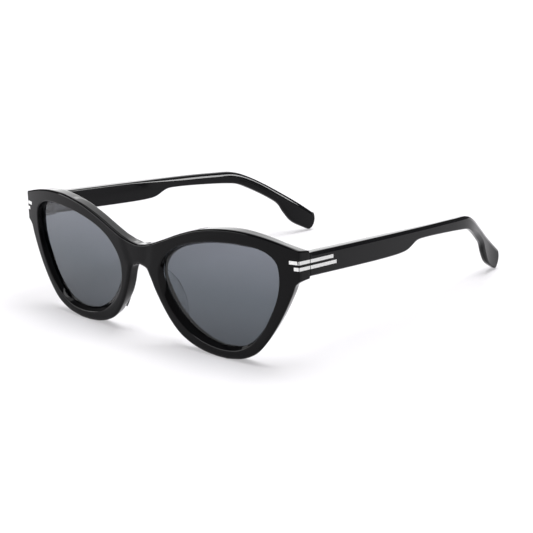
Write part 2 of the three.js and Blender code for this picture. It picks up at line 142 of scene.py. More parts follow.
# rounding of the outer edge: everywhere, what the top adds, what the paddle's underside adds
TEMPLE_WIDE = (0.45, 0.85, 1.4)
TEMPLE_DEEP = (0.4, 0.3, 0.7)
TEMPLE_INNER = (0.7, 0.55)        # rounding of the inner edge, and what the paddle adds
# spans of y over which the paddle, its rounded underside, its tip and the crest set in or end
PADDLE_SPAN = (90, 122)
UNDER_SPAN = ((112, 124), (132, 142))
TIP_SPAN = (140, 146)
CREST_SPAN = (45, 85)

# ---- hinges ----
PIN_X = 63.4
PIN_Y = 6.9
PIN_Z = 38.3
BARREL_R = 1.45
BARREL_CUT = 0.12        # chamfer of the barrels, and of the leaves' edges
KNUCKLE_H = 1.2
KNUCKLE_PITCH = 1.3
FRONT_KNUCKLES = (0, 2, 4)
TEMPLE_KNUCKLES = (1, 3)
LEAF_DEEP = 0.8
LEAF_PROUD = 0.3
LEAF_BITE = 0.1          # how far the bars run into their leaf
FRONT_LEAF_X = (62.0, 65.3)
FRONT_LEAF_Z = (34.9, 41.7)
TEMPLE_LEAF_Y = (8.4, 17.5)
TEMPLE_LEAF_Z = (34.9, 41.0)
NECK_HALF = 1.1
NECK_SHORT = 0.5         # the bars from the front end this far before the pin
ARM_X = 0.4              # the bars from the temple start at this place beside the pin
ARM_Y = (-0.6, 2.5)
ARM_EDGE_Y = 9.0
SCREW_R = 0.62
SCREW_HEAD_R = 1.15
SCREW_HEAD_GAP = 0.06

# ---- nose pads ----
PAD_LOW = 8.0
PAD_HIGH = 28.6
PAD_REACH = 3.9          # how far its middle stands back, beyond PAD_FOOT, the reach of its ends
PAD_FOOT = 0.5
PAD_THICK = (0.5, 0.55)  # half its thickness at the ends, and what its middle adds
PAD_SET = (1.2, 0.9)     # how far it lies outside the nose's edge: at its ends, and more in its middle
PAD_GAP = 0.1
PAD_SPLAY = 0.9          # sideways lean of a pad for each millimetre it stands back
PAD_SKEW = 1.25
PAD_ROWS = 30
PAD_NOSE_X = 20.0
# a pad's section: share of its reach, share of its thickness
PAD_SECTION = [
    (0, -1), (0.3, -1), (0.6, -0.95), (0.82, -0.78), (0.95, -0.45), (1, 0),
    (0.96, 0.4), (0.84, 0.72), (0.62, 0.95), (0.3, 1.05), (0, 1.2), (-0.04, 0.1),
]

# ---- outlines, seen from the front: x, z ----
TOP_EDGE = [
    (0, 36.9), (5.2, 37.8), (12.5, 40.6), (22.5, 44.8), (31.2, 47.5),
    (42, 48.98), (50, 48.88), (58, 47.8), (65, 46.1), (70, 44.65),
]
SIDE_EDGE = [
    (70, 33.9), (68.6, 32.4), (67, 28.2), (63.9, 21.3), (60.4, 15),
    (56.1, 8.8), (51.7, 4.3), (45.8, 1.4), (38.4, 0),
]
NOSE_EDGE = [
    (33.4, 0), (27.4, 0.7), (21.9, 2.3), (17.1, 5), (13.6, 8.6),
    (10.9, 12.6), (6.9, 20.6), (5.3, 24.9), (3.6, 28.1), (0, 29.3),
]
BEVEL_EDGE = [
    (62.4, 33), (61.3, 39.7), (56.5, 43.2), (47.4, 44.4), (37.7, 43.9), (28.1, 42.3),
    (18.4, 38.7), (12.3, 33.3), (9.9, 27.4), (11.3, 18.6), (16.6, 11), (24.1, 5.8),
    (34, 3.4), (43.9, 4.4), (51.9, 9.6), (57.7, 17.9), (61.1, 26),
]
LENS_EDGE = [
    (61.9, 33), (61, 39), (56.4, 42.3), (47.4, 43.4), (37.8, 43.1), (29.1, 41.6),
    (19, 38.1), (12.9, 33.1), (10.9, 27.7), (12.7, 20.8), (17.3, 13.6), (23.5, 8.3),
    (31, 5.2), (39.7, 4.6), (47, 6.8), (53.7, 13.2), (57.8, 20.5), (61, 27),
]
EYE = (37.0, 24.0)       # a point inside the left eye's opening

# ---- temple, seen from the side: y, z, and its plan: y, x of the outer face ----
TEMPLE_TOP = [
    (JOINT_Y, 42.85), (15, 42), (55, 38.35), (98, 34.2), (109, 32.7), (117.5, 29.1), (139, 15.2),
    (149.3, 7.9),
]
TEMPLE_TAIL = [(149.78, 5.0), (148.9, 2.3)]
TEMPLE_LOW = [
    (147, 0.15), (137.6, 5.5), (133.4, 10.4), (130.6, 14.8), (126, 18.4), (117, 24), (110.8, 27),
    (104, 28.5), (76, 32.1), (70.5, 32.2), (64.5, 30.2), (59.5, 29.9), (JOINT_Y, 34.46),
]
TEMPLE_PLAN = [
    (-12, 70), (8, 70), (35, 69.2), (61, 67.9), (90, 65.7),
    (111, 62.7), (128, 56.9), (139, 53.4), (146, 51.9), (152, 51.1),
]

MESH_STEP = {"front": 1.5, "lens": 1.6, "temple": 2.0}    # spacing of the points inside a face
SUPPORT = 0.12           # a ring this far inside a rounded edge keeps the face beside it flat

screw_low, screw_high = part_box("hinge_screw_left")
ORIGIN_Y = (screw_low.y + screw_high.y) / 2 / MM - PIN_Y


# ---------- curves ----------


def mix(a, b, share):
    return a + (b - a) * share


def smoothstep(v, low, high):
    t = np.clip((np.asarray(v, float) - low) / (high - low), 0, 1)
    return t * t * (3 - 2 * t)


def spline(points, step, closed=False):
    """A centripetal Catmull-Rom curve through the points, resampled about every step."""
    p = np.array(points, float)
    if closed:
        p = np.vstack([p[-1], p, p[0], p[1]])
    else:
        p = np.vstack([2 * p[0] - p[1], p, 2 * p[-1] - p[-2]])
    fine = []
    for p0, p1, p2, p3 in zip(p, p[1:], p[2:], p[3:]):
        d = [max(1e-6, np.linalg.norm(b - a) ** 0.5) for a, b in ((p0, p1), (p1, p2), (p2, p3))]
        t1, t2, t3 = d[0], d[0] + d[1], d[0] + d[1] + d[2]
        t = np.linspace(t1, t2, 40, endpoint=False)[:, None]
        a1 = (t1 - t) / t1 * p0 + t / t1 * p1
        a2 = (t2 - t) / (t2 - t1) * p1 + (t - t1) / (t2 - t1) * p2
        a3 = (t3 - t) / (t3 - t2) * p2 + (t - t2) / (t3 - t2) * p3
        b1 = (t2 - t) / t2 * a1 + t / t2 * a2
        b2 = (t3 - t) / (t3 - t1) * a2 + (t - t1) / (t3 - t1) * a3
        fine.append((t2 - t) / (t2 - t1) * b1 + (t - t1) / (t2 - t1) * b2)
    fine = np.vstack(fine + [p[-2][None]])
    return resample(fine, step, closed)


def resample(line, step, closed=False):
    run = np.r_[0, np.cumsum(np.linalg.norm(np.diff(line, axis=0), axis=1))]
    count = max(2, int(round(run[-1] / step)))
    at = np.linspace(0, run[-1], count + 1)
    out = np.stack([np.interp(at, run, line[:, i]) for i in range(2)], 1)
    return out[:-1] if closed else out


def fillet(before, corner, after, radius, count=7):
    """Points of the arc that rounds a corner between two neighbouring points."""
    c = np.array(corner, float)
    a = np.array(before, float) - c
    b = np.array(after, float) - c
    a /= np.linalg.norm(a)
    b /= np.linalg.norm(b)
    half = math.acos(np.clip(a @ b, -1, 1)) / 2
    middle = c + (a + b) / np.linalg.norm(a + b) * radius / math.sin(half)
    from_a = c + a * radius / math.tan(half) - middle
    from_b = c + b * radius / math.tan(half) - middle
    start = math.atan2(from_a[1], from_a[0])
    turn = math.atan2(from_a[0] * from_b[1] - from_a[1] * from_b[0], from_a @ from_b)
    angle = start + turn * np.linspace(0, 1, count)
    return middle + radius * np.stack([np.cos(angle), np.sin(angle)], 1)


def normals(loop):
    """Unit normals on the right-hand side of a closed loop, so outwards where it runs anticlockwise."""
    ahead = np.roll(loop, -1, axis=0) - loop
    ahead /= np.linalg.norm(ahead, axis=1)[:, None]
    right = np.stack([ahead[:, 1], -ahead[:, 0]], 1)
    both = right + np.roll(right, 1, axis=0)
    both /= np.linalg.norm(both, axis=1)[:, None]
    reach = 1 / np.maximum(0.5, (both * right).sum(1))
    return both, reach[:, None]


def inside(points, loop):
    """True for each point that lies inside the closed loop."""
    x, y = points[:, 0][:, None], points[:, 1][:, None]
    a, b = loop, np.roll(loop, -1, axis=0)
    crosses = (a[:, 1] > y) != (b[:, 1] > y)
    rise = np.where(b[:, 1] == a[:, 1], 1e-12, b[:, 1] - a[:, 1])
    at = a[:, 0] + (y - a[:, 1]) / rise * (b[:, 0] - a[:, 0])
    return (crosses & (x < at)).sum(1) % 2 == 1


def gap_to(points, loop):
    """Distance from each point to the closed loop."""
    a = loop[None]
    ab = np.roll(loop, -1, axis=0)[None] - a
    ap = points[:, None] - a
    t = np.clip((ap * ab).sum(2) / (ab * ab).sum(2), 0, 1)[..., None]
    return np.linalg.norm(ap - t * ab, axis=2).min(1)


# ---------- meshes ----------


def tube_faces(rows, count):
    """Faces of a closed tube of rows rings with count points each."""
    faces = []
    for row in range(rows - 1):
        a, b = row * count, (row + 1) * count
        faces += [(a + i, a + (i + 1) % count, b + (i + 1) % count, b + i) for i in range(count)]
    last = (rows - 1) * count
    return faces + [tuple(range(count)), tuple(range(last, last + count))]


def add_object(name, verts, faces, material, sharp=35.0, mirror=1):
    """A mesh object from millimetre coordinates in the design's frame."""
    co = np.array(verts, float)
    co[:, 0] *= mirror
    co[:, 1] += ORIGIN_Y
    mesh = bpy.data.meshes.new(name)
    mesh.from_pydata((co * MM).tolist(), [], faces)
    bm = bmesh.new()
    bm.from_mesh(mesh)
    bmesh.ops.recalc_face_normals(bm, faces=bm.faces)
    bm.to_mesh(mesh)
    bm.free()
    mesh.shade_smooth()
    mesh.set_sharp_from_angle(angle=math.radians(sharp))
    obj = bpy.data.objects.new(name, mesh)
    bpy.context.scene.collection.objects.link(obj)
    obj.data.materials.append(material)
    return obj


def fill(loops, step):
    """Triangles that fill the first loop less the others, with a grid of points inside."""
    outer = loops[0]
    low, high = outer.min(0), outer.max(0)
    rows = np.arange(low[1], high[1], step * 0.866)
    grid = [
        (x, y)
        for i, y in enumerate(rows)
        for x in np.arange(low[0] + (i % 2) * step / 2, high[0], step)
    ]
    grid = np.array(grid)
    keep = inside(grid, outer)
    for hole in loops[1:]:
        keep &= ~inside(grid, hole)
    grid = grid[keep]
    for loop in loops:
        grid = grid[gap_to(grid, loop) > step * 0.55]
    points = np.vstack(list(loops) + [grid])
    edges = []
    base = 0
    for loop in loops:
        n = len(loop)
        edges += [(base + i, base + (i + 1) % n) for i in range(n)]
        base += n
    out = delaunay_2d_cdt([Vector(p) for p in points], edges, [], 0, 1e-5)
    lost = [tuple(out[0][i]) for i, o in enumerate(out[3]) if not o]
    if lost:
        raise ValueError(f"an outline crosses itself near {lost[0]}")
    back = [o[0] for o in out[3]]
    tris = np.array([[back[v] for v in f] for f in out[2]])
    middle = points[tris].mean(1)
    keep = inside(middle, outer)
    for hole in loops[1:]:
        keep &= ~inside(middle, hole)
    return grid, tris[keep]


def plate(rings_of_loops, place, front_depth, back_depth, step):
    """A closed plate. Each loop is a list of rings (points, depth) from the front to the back."""
    verts, faces, starts = [], [], []
    for rings in rings_of_loops:
        n = len(rings[0][0])
        start = []
        for points, depth in rings:
            start.append(len(verts))
            verts += place(points, depth).tolist()
        for a, b in zip(start, start[1:]):
            faces += [(a + i, a + (i + 1) % n, b + (i + 1) % n, b + i) for i in range(n)]
        starts.append(start)
    for end, depth_of in ((0, front_depth), (-1, back_depth)):
        loops = [rings[end][0] for rings in rings_of_loops]
        grid, tris = fill(loops, step)
        index = [s[end] + i for s, loop in zip(starts, loops) for i in range(len(loop))]
        index += range(len(verts), len(verts) + len(grid))
        verts += place(grid, depth_of(grid)).tolist()
        faces += [tuple(index[v] for v in t) for t in tris]
    return verts, faces


def roll(loop, out, reach, wide, deep, start, sign, count=6):
    """Rings that round an edge: from the face, wide in from the loop, over to the wall, deep down."""
    rings = [(loop - out * reach * np.asarray(wide + SUPPORT).reshape(-1, 1), start)]
    for j in range(count + 1):
        a = math.pi / 2 * j / count
        inset = wide * (1 - math.sin(a))
        depth = start + sign * deep * (1 - math.cos(a))
        rings.append((loop - out * reach * np.asarray(inset).reshape(-1, 1), depth))
    return rings


# ---------- shared surfaces ----------


def face_y(x, z):
    u = (x / HALF_WIDTH) ** 2
    wrap = WRAP[0] * u + WRAP[1] * u * u
    bridge = BRIDGE_Y * np.exp(-((x / BRIDGE_SPREAD) ** 2))
    half = BRIDGE_HALF + BRIDGE_FLARE * (z - BRIDGE_FOOT)
    across = 1 - smoothstep(np.abs(x), half - BRIDGE_EASE[0], half + BRIDGE_EASE[1])
    set_back = BRIDGE_SET * across * smoothstep(z, BRIDGE_START, BRIDGE_FOOT)
    return BASE_Y + wrap + bridge + (LEAN + LEAN_END * u) * (z - LEAN_Z) + set_back


def front_t(x):
    return FRONT_T + END_EXTRA_T * (x / HALF_WIDTH) ** END_POWER


def back_y(x, z):
    return face_y(x, z) + front_t(x)


plan = spline(TEMPLE_PLAN, 0.5)


def outer_x(y):
    return np.minimum(np.interp(y, plan[:, 0], plan[:, 1]), HALF_WIDTH - OUTER_GAP)


def temple_t(y):
    t = TEMPLE_T + (TIP_T - TEMPLE_T) * np.clip(np.asarray(y, float) / TEMPLE_LENGTH, 0, 1)
    slope = (outer_x(y + 1) - outer_x(y - 1)) / 2
    return t * np.hypot(1, slope)


def inner_x(y):
    return outer_x(y) - temple_t(y)


# ---------- the front ----------


def front_outline():
    top = spline(TOP_EDGE, 1.1)
    side = spline(SIDE_EDGE, 1.1)
    nose = spline(NOSE_EDGE, 1.0)
    corner = fillet(top[-3], top[-1], side[0], CORNER_ROUND)
    joint = fillet(top[-1], side[0], side[3], JOINT_ROUND)
    flank = resample(np.array([corner[-1], joint[0]]), 1.0)[1:-1]
    flat = resample(np.array([side[-1], nose[0]]), 1.0)[1:-1]
    half = np.vstack([top[:-1], corner, flank, joint, side[2:], flat, nose])
    mirrored = half[1:-1][::-1] * [-1, 1]
    return np.vstack([half, mirrored])[::-1]


# section of the crisp upper edge: shares of its width and depth, from the face to the wall
CHAMFER = [(1, 0), (0.96, 0.01), (0.56, 0.25), (0.5, 0.31), (0.1, 0.84), (0.03, 0.93), (0, 1)]


def front_rings():
    loop = front_outline()
    out, reach = normals(loop)
    x, z = loop.T

    def span(pair):
        return smoothstep(np.abs(x), *pair[0]), smoothstep(z, *pair[1])

    outer, upper = span(END_SPAN)
    end = outer * upper
    low = smoothstep(-out[:, 1], -0.25, 0.45)
    wide = mix(mix(EDGE_WIDE[0], EDGE_WIDE[1], low), EDGE_WIDE[2], end)
    deep = mix(mix(EDGE_DEEP[0], EDGE_DEEP[1], low), EDGE_DEEP[2], end)
    t = front_t(x)
    outer, upper = span(SIDE_SPAN)
    side = SIDE_TAPER * outer * (1 - upper)
    outer, upper = span(NOSE_SPAN)
    nose = NOSE_TAPER * (1 - outer) * (1 - upper)
    outer, upper = span(DROP_SPAN)
    drop = END_DROP * outer * upper
    back = FRONT_BACK_ROLL - END_ROLL_LOSS * end

    def lean_in(points, depth):
        share = (depth / t)[:, None]
        moved = points - out * reach * (side + nose)[:, None] * share
        moved[:, 1] -= drop * share[:, 0]
        return moved

    support = SUPPORT * (1 - 0.7 * end)
    rings = [(loop - out * reach * (wide + support)[:, None], 0)]
    count = len(CHAMFER) - 1
    for j, (inset, depth) in enumerate(CHAMFER):
        a = math.pi / 2 * j / count
        inset = mix(inset, 1 - math.sin(a), low)
        depth = mix(depth, 1 - math.cos(a), low)
        rings.append((loop - out * reach * (wide * inset)[:, None], deep * depth))
    for share in (0.25, 0.5, 0.75):
        rings.append((loop, deep + (t - back - deep) * share))
    rings += roll(loop, out, reach, back, back, t, -1)[::-1]
    return [(lean_in(p, np.broadcast_to(d, t.shape)), np.broadcast_to(d, t.shape)) for p, d in rings]


def eye_loops(mirror, count=200):
    """The bevel's start and the lens edge, point for point, for one eye."""
    bevel = spline(BEVEL_EDGE, 0.2, True)
    run = np.arange(0, len(bevel), len(bevel) / count).astype(int)
    picked = bevel[run]
    lens = spline(LENS_EDGE, 0.2, True)
    ray = lens - EYE
    turn = np.arctan2(ray[:, 1], ray[:, 0])
    order = np.argsort(turn)
    away = picked - EYE
    want = np.arctan2(away[:, 1], away[:, 0])
    far = np.interp(want, turn[order], np.hypot(*ray[order].T), period=2 * math.pi)
    edge = np.array(EYE) + np.stack([np.cos(want), np.sin(want)], 1) * far[:, None]
    area = np.cross(picked, np.roll(picked, -1, axis=0)).sum()
    if area < 0:
        picked, edge = picked[::-1], edge[::-1]
    if mirror < 0:
        picked, edge = picked[::-1] * [-1, 1], edge[::-1] * [-1, 1]
    return picked, edge


def eye_rings(mirror):
    bevel, edge = eye_loops(mirror)
    out, reach = normals(bevel)
    edge_out, edge_reach = normals(edge)
    t = front_t(edge[:, 0])
    zero = np.zeros(len(bevel))
    lip = (BEVEL_LIP[0] + BEVEL_LIP[1] * smoothstep(-out[:, 1], 0.2, 0.8))[:, None]
    seat = LENS_SET - GROOVE_GAP
    behind = LENS_SET + LENS_T + GROOVE_GAP
    start = bevel + out * lip
    rings = [(start + out * SUPPORT, zero)]
    bend_to = mix(bevel, edge, BEVEL_FLAT)
    for s in np.linspace(0, 1, 7):
        points = (1 - s) ** 2 * start + 2 * s * (1 - s) * bevel + s * s * bend_to
        rings.append((points, zero + s * s * BEVEL_FLAT * seat))
    near_seat = 0.85
    rings.append((mix(bevel, edge, near_seat), zero + seat * near_seat))
    rings.append((edge, zero + seat))
    grip = edge + edge_out * edge_reach * (LENS_GRIP + GROOVE_GAP)
    rings.append((grip, zero + seat))
    rings.append((grip, zero + behind))
    rings.append((edge, zero + behind))
    back_wide, back_deep = BACK_OPENING_ROLL
    for a in np.linspace(0, math.pi / 2, 5)[1:]:
        points = edge + edge_out * back_wide * (1 - math.cos(a))
        rings.append((points, t - back_deep * (1 - math.sin(a))))
    return rings


def front_place(points, depth):
    x, z = points.T
    return np.stack([x, face_y(x, z) + depth, z], 1)


def make_front(material):
    def face(points):
        return np.zeros(len(points))

    def back(points):
        return front_t(points[:, 0])

    rings = [front_rings(), eye_rings(1), eye_rings(-1)]
    verts, faces = plate(rings, front_place, face, back, MESH_STEP["front"])
    return add_object("acetate_front", verts, faces, material, 38)


# ---------- the lens ----------


def make_lens(side, material):
    mirror = SIDES[side]
    _, edge = eye_loops(mirror)
    out, reach = normals(edge)
    rim = edge + out * reach * (LENS_GRIP - LENS_EDGE_GAP)
    cut = rim - out * reach * LENS_EDGE_CUT
    zero = np.zeros(len(rim))
    rings = [
        (cut, zero + LENS_SET),
        (rim, zero + LENS_SET + LENS_EDGE_CUT),
        (rim, zero + LENS_SET + LENS_T - LENS_EDGE_CUT),
        (cut, zero + LENS_SET + LENS_T),
    ]

    def front(points):
        return np.full(len(points), LENS_SET)

    def back(points):
        return np.full(len(points), LENS_SET + LENS_T)

    verts, faces = plate([rings], front_place, front, back, MESH_STEP["lens"])
    return add_object(f"tinted_lens_{side}", verts, faces, material, 30)


# ---------- the temple ----------


def temple_rings():
    top = spline(TEMPLE_TOP, 1.2)
    low = spline(TEMPLE_LOW, 1.0)
    tail = spline([top[-1], *TEMPLE_TAIL, low[0]], 0.8)
    tip = fillet(top[-4], top[-1], tail[3], TIP_ROUND)
    heel = fillet(tail[-4], low[0], low[4], HEEL_ROUND)
    tail = tail[2:-2]
    nose = resample(np.array([low[-1], top[0]]), 0.8)[1:-1]
    room = HEEL_ROUND + 0.4
    top = top[np.linalg.norm(top - top[-1], axis=1) > room]
    low = low[np.linalg.norm(low - low[0], axis=1) > room]
    loop = np.vstack([top, tip, tail, heel, low, nose])[::-1]
    out, reach = normals(loop)
    y, z = loop.T
    t = temple_t(y)
    up = smoothstep(out[:, 1], 0.1, 0.7)
    joint = 1 - smoothstep(y, JOINT_Y + 0.1, JOINT_Y + 1.1)
    paddle = smoothstep(y, *PADDLE_SPAN)
    under = smoothstep(y, *UNDER_SPAN[0]) * (1 - smoothstep(y, *UNDER_SPAN[1]))
    under = under * smoothstep(-out[:, 1], 0.0, 0.6)
    wide = TEMPLE_WIDE[0] + TEMPLE_WIDE[1] * up + TEMPLE_WIDE[2] * under
    deep = TEMPLE_DEEP[0] + TEMPLE_DEEP[1] * up + TEMPLE_DEEP[2] * under
    wide = mix(wide, JOINT_EDGE[0], joint)
    deep = mix(deep, JOINT_EDGE[0], joint)
    end = smoothstep(out[:, 0], 0.5, 0.9) * smoothstep(y, *TIP_SPAN)
    back = mix(TEMPLE_INNER[0] + TEMPLE_INNER[1] * paddle * (1 - end), JOINT_EDGE[1], joint)
    over = smoothstep(out[:, 1], 0.3, 0.8) * smoothstep(y, *CREST_SPAN) * (1 - end)
    back_wide = mix(back, CREST[0], over)
    back = mix(back, CREST[1], over)
    rings = [
        (loop - out * reach * (wide + SUPPORT)[:, None], np.zeros(len(loop))),
        (loop - out * reach * wide[:, None], np.zeros(len(loop))),
        (loop - out * reach * (wide * 0.88)[:, None], deep * 0.04),
        (loop - out * reach * (wide * 0.12)[:, None], deep * 0.72),
        (loop - out * reach * (wide * 0.03)[:, None], deep * 0.86),
        (loop, deep),
    ]
    for share in (0.33, 0.67):
        rings.append((loop, deep + (t - back - deep) * share))
    rings += roll(loop, out, reach, back_wide, back, t, -1, 8)[::-1]
    return [(p, np.broadcast_to(d, t.shape)) for p, d in rings]


def temple_place(points, depth):
    """Carries side-view points to the temple; its joint end follows the back of the front."""
    y, z = points.T
    x = outer_x(y) - depth
    slant = back_y(np.clip(x, 60, HALF_WIDTH), z) - back_y(HALF_WIDTH, z)
    near = 1 - smoothstep(y, JOINT_Y, JOINT_FADE)
    return np.stack([x, y + slant * near, z], 1)


def make_temple(side, material):
    def front(points):
        return np.zeros(len(points))

    def back(points):
        return temple_t(points[:, 0])

    verts, faces = plate([temple_rings()], temple_place, front, back, MESH_STEP["temple"])
    return add_object(f"acetate_temple_{side}", verts, faces, material, 38, SIDES[side])


# ---------- stripes ----------


def left_of(step):
    """The unit vector on the left-hand side of a step."""
    return np.array([-step[1], step[0]]) / np.linalg.norm(step)


def strip(path, heights, thick, name, side, material):
    """A flat bar along a plan path of (x, y), with heights the (low, high) z at each point."""
    p = np.array(path, float)
    sides = [left_of(b - a) for a, b in zip(p, p[1:])]
    inner = [p[0] + sides[0] * thick]
    for point, na, nb in zip(p[1:], sides, sides[1:]):
        m = (na + nb) / np.linalg.norm(na + nb)
        inner.append(point + m * thick / max(0.4, m @ na))
    inner.append(p[-1] + sides[-1] * thick)
    verts, faces = [], []
    for (x, y), (xi, yi), (low, high) in zip(p, inner, heights):
        verts += [(x, y, low), (x, y, high), (xi, yi, high), (xi, yi, low)]
    for i in range(len(p) - 1):
        a, b = 4 * i, 4 * (i + 1)
        for j in range(4):
            k = (j + 1) % 4
            faces.append((a + j, b + j, b + k, a + k))
    last = 4 * (len(p) - 1)
    faces += [(0, 1, 2, 3), (last + 3, last + 2, last + 1, last)]
    return add_object(name, verts, faces, material, 25, SIDES[side])


def stripe_z(stripe, y):
    return stripe["z"] - STRIPE_FALL * max(0.0, y - CORNER_Y)


def front_stripe_path(stripe):
    xs = np.linspace(stripe["front"], HALF_WIDTH + STRIPE_PROUD, 5)
    z = stripe["z"]
    path = [(x, float(face_y(x, z)) - STRIPE_PROUD) for x in xs]
    corner_x, corner_y = path.pop()
    end_y = float(back_y(HALF_WIDTH, z)) - STRIPE_END
    path.append((corner_x - MITRE[0], corner_y - MITRE_LIFT))
    path.append((corner_x - MITRE[1], corner_y + MITRE[1]))
    path += [(corner_x, y) for y in np.linspace(corner_y + MITRE[0], end_y, 5)]
    return path


def temple_stripe_path(stripe):
    start = float(back_y(HALF_WIDTH, stripe["z"])) + JOINT_GAP + STRIPE_END
    ys = np.linspace(start, stripe["back"], 6)
    return [(float(outer_x(y)) + STRIPE_PROUD, y) for y in ys]


def band(stripe, path):
    half = STRIPE_H / 2
    return [(stripe_z(stripe, y) - half, stripe_z(stripe, y) + half) for _, y in path]


def make_stripes(side, material):
    made = {}
    for name, stripe in STRIPES.items():
        for part, path_of in (("front", front_stripe_path), ("temple", temple_stripe_path)):
            path = path_of(stripe)
            label = f"inlay_{part}_{name}_{side}"
            piece = strip(path, band(stripe, path), STRIPE_DEEP, label, side, material)
            made[f"stripe_{part}_{name}_{side}"] = piece
    return made


# ---------- nose pads ----------


def make_pad(side, material):
    nose = spline(NOSE_EDGE, 0.2)
    nose = nose[nose[:, 0] < PAD_NOSE_X]
    order = np.argsort(nose[:, 1])
    verts = []
    for t in np.linspace(0, 1, PAD_ROWS):
        z = PAD_LOW + (PAD_HIGH - PAD_LOW) * t
        bow = math.sin(math.pi * (0.01 + 0.98 * t) ** PAD_SKEW) ** 0.5
        x = float(np.interp(z, nose[order, 1], nose[order, 0])) + PAD_SET[0] + PAD_SET[1] * bow
        start = float(back_y(x, z)) + PAD_GAP
        reach = PAD_FOOT + PAD_REACH * bow
        thick = PAD_THICK[0] + PAD_THICK[1] * bow
        for along, across in PAD_SECTION:
            verts.append((x + PAD_SPLAY * along * reach + across * thick, start + along * reach, z))
    faces = tube_faces(PAD_ROWS, len(PAD_SECTION))
    pad = add_object(f"clear_nose_pad_{side}", verts, faces, material, 60, SIDES[side])
    smooth = pad.modifiers.new("smooth", "SUBSURF")
    smooth.levels = 2
    smooth.render_levels = 2
    return pad


# ---------- hinges ----------


def knuckle(k):
    """The low and high z of one of the five knuckles, counted from the lowest."""
    middle = PIN_Z + (k - 2) * KNUCKLE_PITCH
    return middle - KNUCKLE_H / 2, middle + KNUCKLE_H / 2


def turned(profile, x, y, count=36):
    """A turned solid with flat ends round an upright axis. The profile is a list of (radius, z)."""
    verts = []
    for r, z in profile:
        for i in range(count):
            a = 2 * math.pi * i / count
            verts.append((x + r * math.cos(a), y + r * math.sin(a), z))
    return verts, tube_faces(len(profile), count)


def joined(parts):
    verts, faces = [], []
    for v, f in parts:
        base = len(verts)
        verts += v
        faces += [tuple(base + i for i in face) for face in f]
    return verts, faces


def slab(grid_front, grid_back):
    """A closed slab between two grids of points of the same size."""
    rows, cols = len(grid_front), len(grid_front[0])
    verts = [tuple(p) for row in grid_front for p in row] + [tuple(p) for row in grid_back for p in row]
    half = rows * cols
    faces = []
    for r in range(rows - 1):
        for c in range(cols - 1):
            a = r * cols + c
            quad = (a, a + 1, a + cols + 1, a + cols)
            faces.append(quad)
            faces.append(tuple(half + v for v in quad))
    rim = list(range(cols))
    rim += [r * cols + cols - 1 for r in range(1, rows)]
    rim += [(rows - 1) * cols + c for c in range(cols - 2, -1, -1)]
    rim += [r * cols for r in range(rows - 2, 0, -1)]
    for a, b in zip(rim, rim[1:] + rim[:1]):
        faces.append((a, b, half + b, half + a))
    return verts, faces


def barrel(k):
    low, high = knuckle(k)
    neck = BARREL_R - BARREL_CUT
    profile = [(neck, low), (BARREL_R, low + BARREL_CUT), (BARREL_R, high - BARREL_CUT), (neck, high)]
    return turned(profile, PIN_X, PIN_Y)


def bar(x0, x1, y0, y1, z0, z1):
    front = [[(x0, y0, z0), (x1, y0, z0)], [(x0, y0, z1), (x1, y0, z1)]]
    back = [[(x0, y1, z0), (x1, y1, z0)], [(x0, y1, z1), (x1, y1, z1)]]
    return slab(front, back)


def soften(obj):
    mod = obj.modifiers.new("edges", "BEVEL")
    mod.width = BARREL_CUT * MM
    mod.segments = 2
    mod.limit_method = "ANGLE"
    mod.angle_limit = math.radians(40)


def make_front_leaf(side, material):
    xs = np.linspace(*FRONT_LEAF_X, 6)
    zs = np.linspace(*FRONT_LEAF_Z, 4)
    outer = [[(x, float(back_y(x, z)) - LEAF_DEEP, z) for x in xs] for z in zs]
    inner = [[(x, float(back_y(x, z)) + LEAF_PROUD, z) for x in xs] for z in zs]
    parts = [slab(outer, inner)]
    wall = float(back_y(PIN_X, PIN_Z)) + LEAF_PROUD - LEAF_BITE
    for k in FRONT_KNUCKLES:
        neck = bar(PIN_X - NECK_HALF, PIN_X + NECK_HALF, wall, PIN_Y - NECK_SHORT, *knuckle(k))
        parts += [neck, barrel(k)]
    leaf = add_object(f"front_leaf_{side}", *joined(parts), material, 30, SIDES[side])
    soften(leaf)
    return leaf


def make_temple_leaf(side, material):
    ys = np.linspace(*TEMPLE_LEAF_Y, 6)
    zs = np.linspace(*TEMPLE_LEAF_Z, 4)
    outer = [[(float(inner_x(y)) + LEAF_DEEP, y, z) for y in ys] for z in zs]
    inner = [[(float(inner_x(y)) - LEAF_PROUD, y, z) for y in ys] for z in zs]
    parts = [slab(outer, inner)]
    edge = float(inner_x(ARM_EDGE_Y)) - LEAF_PROUD + LEAF_BITE
    for k in TEMPLE_KNUCKLES:
        arm = bar(PIN_X + ARM_X, edge, PIN_Y + ARM_Y[0], PIN_Y + ARM_Y[1], *knuckle(k))
        parts += [arm, barrel(k)]
    leaf = add_object(f"temple_leaf_{side}", *joined(parts), material, 30, SIDES[side])
    soften(leaf)
    return leaf


def make_screw(side, material):
    foot, _ = knuckle(0)
    _, top = knuckle(4)
    head = top + SCREW_HEAD_GAP
    # the pin with its chamfered foot, then the head with a round dish in its top
    profile = [
        (0.5, foot), (SCREW_R, foot + 0.12), (SCREW_R, head), (1.05, head), (SCREW_HEAD_R, head + 0.1),
        (SCREW_HEAD_R, head + 0.42), (1.0, head + 0.56), (0.7, head + 0.6),
        (0.5, head + 0.6), (0.44, head + 0.3), (0.1, head + 0.22),
    ]
    verts, faces = turned(profile, PIN_X, PIN_Y)
    return add_object(f"pivot_screw_{side}", verts, faces, material, 35, SIDES[side])


# ---------- materials ----------


def shader(name):
    material = bpy.data.materials.new(name)
    material.use_nodes = True
    tree = material.node_tree
    return material, tree, tree.nodes["Principled BSDF"]


